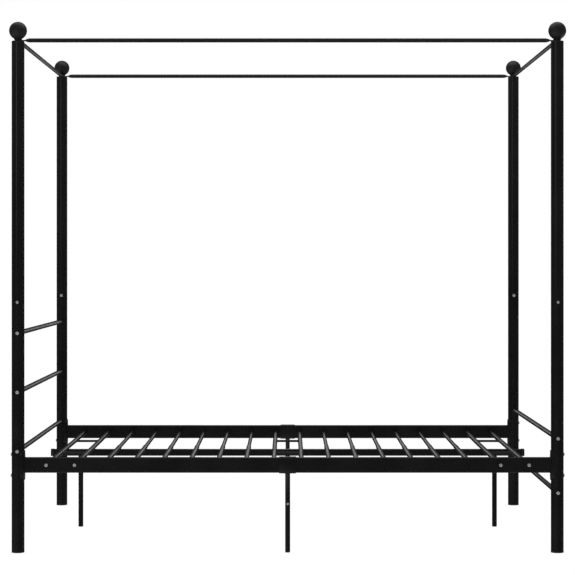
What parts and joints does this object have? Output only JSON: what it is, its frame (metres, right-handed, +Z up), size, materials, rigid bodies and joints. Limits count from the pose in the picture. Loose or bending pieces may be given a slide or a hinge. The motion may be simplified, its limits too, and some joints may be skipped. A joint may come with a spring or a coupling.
{
  "type": "four poster canopy bed",
  "caption": "Four poster canopy bed frame of black steel tube: tall posts with ball finials, thin canopy tubes, railed head and foot, and a slatted base for a mattress.",
  "frame": {"origin": "on the floor, at the centre of the bed", "axes": "+Z up; +X along the bed towards the foot end; -Y is the right-hand side of a sleeper on their back"},
  "size_m": [2.1054, 1.5074, 2.0053],
  "materials": {
    "black_powder_coat": "satin black powder coat with a very fine texture",
    "black_finial": "satin black powder coat, slightly coarser texture",
    "black_plastic": "matte moulded black",
    "zinc_steel": "zinc plated, slightly dull"
  },
  "bodies": {
    "root": {"lower_post_head_right": "black_powder_coat", "lower_post_head_left": "black_powder_coat", "lower_post_foot_right": "black_powder_coat", "lower_post_foot_left": "black_powder_coat", "upper_post_head_right": "black_powder_coat", "upper_post_head_left": "black_powder_coat", "upper_post_foot_right": "black_powder_coat", "upper_post_foot_left": "black_powder_coat", "ball_finial_head_right": "black_finial", "ball_finial_head_left": "black_finial", "ball_finial_foot_right": "black_finial", "ball_finial_foot_left": "black_finial", "finial_studs": "zinc_steel", "post_top_plugs": "black_plastic", "post_feet": "black_plastic", "post_spigots": "black_powder_coat", "post_joint_bolts": "zinc_steel", "post_joint_nuts": "zinc_steel", "canopy_tube_right": "black_powder_coat", "canopy_tube_left": "black_powder_coat", "canopy_tube_head": "black_powder_coat", "canopy_tube_foot": "black_powder_coat", "head_rail_low": "black_powder_coat", "head_rail_middle": "black_powder_coat", "head_rail_top": "black_powder_coat", "foot_rail_low": "black_powder_coat", "foot_rail_top": "black_powder_coat", "cross_rail_bolts": "zinc_steel", "cross_rail_plugs": "black_powder_coat", "side_rail_right_head": "black_powder_coat", "side_rail_right_foot": "black_powder_coat", "side_rail_left_head": "black_powder_coat", "side_rail_left_foot": "black_powder_coat", "rail_end_plates": "black_powder_coat", "rail_end_bolts": "zinc_steel", "rail_sleeve_right": "black_powder_coat", "rail_sleeve_left": "black_powder_coat", "side_leg_sockets": "black_powder_coat", "side_leg_right": "black_powder_coat", "side_leg_left": "black_powder_coat", "side_leg_screws": "zinc_steel", "slat_frame_head": "black_powder_coat", "slat_frame_centre": "black_powder_coat", "slat_frame_foot": "black_powder_coat", "slat_frame_bars": "black_powder_coat", "slat_frame_plugs": "black_powder_coat", "slat_frame_bolts": "zinc_steel", "slat_outer_tubes_head": "black_powder_coat", "slat_outer_tubes_foot": "black_powder_coat", "slat_inner_tubes_head": "black_powder_coat", "slat_inner_tubes_foot": "black_powder_coat", "middle_beam_head": "black_powder_coat", "middle_beam_foot": "black_powder_coat", "middle_beam_splice": "black_powder_coat", "middle_beam_caps": "black_plastic", "middle_leg_head": "black_powder_coat", "middle_leg_centre": "black_powder_coat", "middle_leg_foot": "black_powder_coat", "middle_leg_studs": "zinc_steel", "leg_feet": "black_plastic"}
  },
  "joints": []
}
